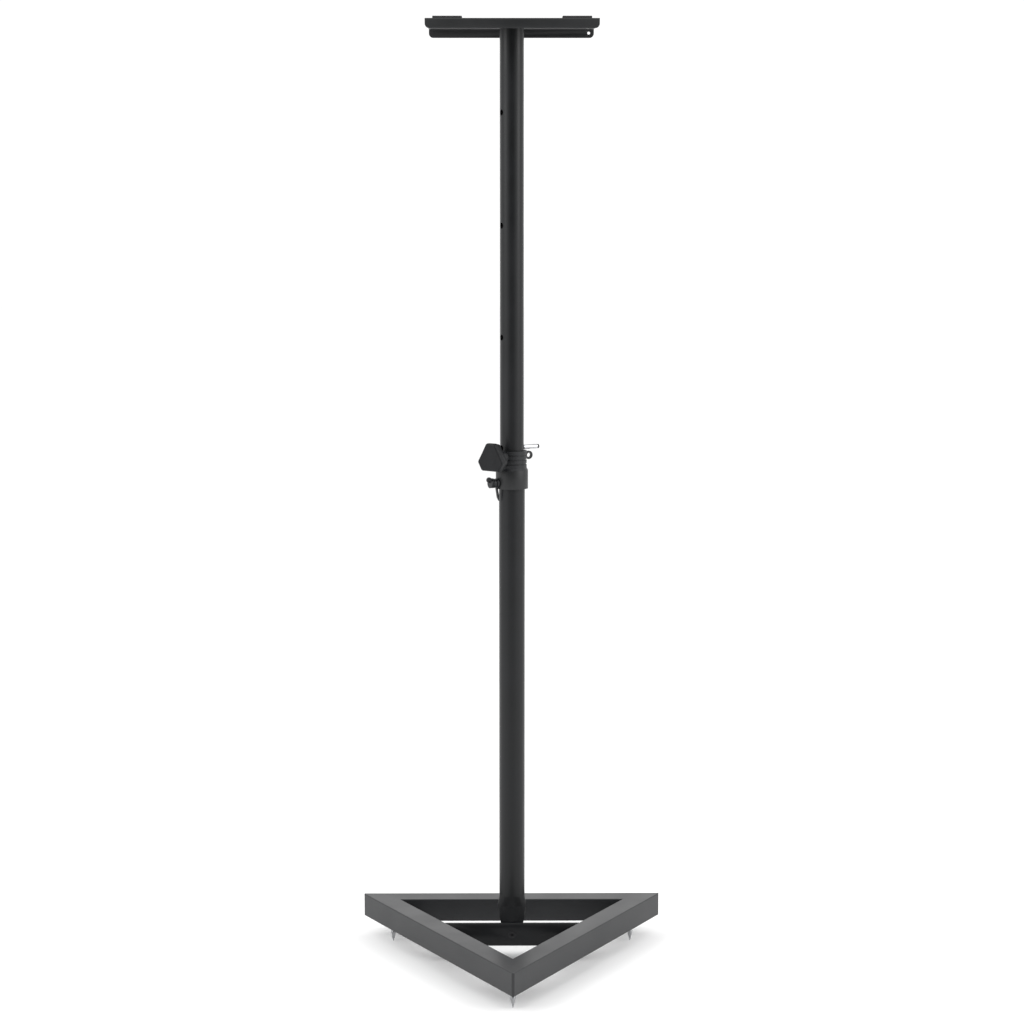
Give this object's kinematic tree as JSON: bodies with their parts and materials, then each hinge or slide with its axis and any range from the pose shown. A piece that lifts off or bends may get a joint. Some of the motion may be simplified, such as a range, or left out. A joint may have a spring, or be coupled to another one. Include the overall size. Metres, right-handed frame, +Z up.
{
  "type": "loudspeaker floor stand",
  "caption": "Height-adjustable loudspeaker stand: triangular tube base on floor spikes, round telescoping pole with clamp collar and safety pin, flat folded top plate with pads.",
  "frame": {"origin": "on the floor, under the middle of the base triangle's own box", "axes": "+Z up along the pole, +Y towards the base's rear bar, -Y towards its front apex, +X to the right seen from the front"},
  "size_m": [0.4214, 0.3656, 1.276],
  "materials": {
    "base_steel": "fine matt black powder coat",
    "pole_steel": "satin black powder coat",
    "bright_steel": "turned, bare",
    "black_fastener": "black zinc",
    "moulded_black": "fine moulded satin",
    "knob_black": "smooth satin",
    "nylon_black": "smooth",
    "chrome_pin": "polished",
    "pad_rubber": "matt cellular rubber"
  },
  "bodies": {
    "base": {"base_tube_rear": "base_steel", "base_tube_left": "base_steel", "base_tube_right": "base_steel", "spike_inserts": "bright_steel", "spike_locknuts": "bright_steel", "cross_bar": "base_steel", "lower_pole": "pole_steel", "foot_bolt": "black_fastener", "foot_washer": "black_fastener", "foot_nut": "black_fastener", "sleeve": "moulded_black", "collar": "moulded_black", "clamp_nut": "bright_steel", "plunger_barrel": "black_fastener", "plunger_spring": "bright_steel", "plunger_strap": "moulded_black"},
    "glide": {"mast_glide": "nylon_black"},
    "mast": {"mast_tube": "pole_steel", "mast_plug": "bright_steel", "top_plate": "base_steel", "plate_screw": "black_fastener", "pad_left": "pad_rubber", "pad_right": "pad_rubber"},
    "shoe": {"clamp_shoe": "nylon_black"},
    "knob": {"knob_grip": "knob_black", "knob_screw": "bright_steel", "knob_cap": "knob_black"},
    "plunger": {"plunger_pin": "bright_steel", "plunger_grip": "moulded_black"},
    "pin": {"safety_pin": "chrome_pin", "safety_pin_cap": "moulded_black"},
    "front_spike": {"spike_front": "bright_steel"},
    "left_spike": {"spike_left": "bright_steel"},
    "right_spike": {"spike_right": "bright_steel"}
  },
  "joints": [
    {"name": "mast_height", "type": "slide", "parent": "base", "child": "glide", "axis": [0, 0, 1], "range_m": [-0.52, 0]},
    {"name": "mast_turn", "type": "hinge", "parent": "glide", "child": "mast", "pos_m": [0, 0.05372, 1], "axis": [0, 0, 1], "range_deg": [-180, 180]},
    {"name": "shoe_travel", "type": "slide", "parent": "base", "child": "shoe", "axis": [-0.6293, -0.7771, 0], "range_m": [0, 0.00188]},
    {"name": "knob_turn", "type": "hinge", "parent": "shoe", "child": "knob", "pos_m": [-0.02045, 0.02846, 0.699], "axis": [-0.6293, -0.7771, 0], "range_deg": [0, 540]},
    {"name": "plunger_pull", "type": "slide", "parent": "base", "child": "plunger", "axis": [-0.8746, -0.4848, 0], "range_m": [0, 0.0025], "stiffness_N_per_m": 2000, "springref_m": -0.0025, "deforming": ["plunger_spring"]},
    {"name": "pin_push", "type": "slide", "parent": "base", "child": "pin", "axis": [-0.8746, -0.4848, 0], "range_m": [0, 0.014]},
    {"name": "front_spike_reach", "type": "slide", "parent": "base", "child": "front_spike", "axis": [0, 0, 1], "range_m": [-0.006, 0.0015]},
    {"name": "left_spike_reach", "type": "slide", "parent": "base", "child": "left_spike", "axis": [0, 0, 1], "range_m": [-0.006, 0.0015]},
    {"name": "right_spike_reach", "type": "slide", "parent": "base", "child": "right_spike", "axis": [0, 0, 1], "range_m": [-0.006, 0.0015]}
  ],
  "couplings": [
    {"joint": "shoe_travel", "follows": "knob_turn", "m_per_rad": 0.00019894}
  ]
}
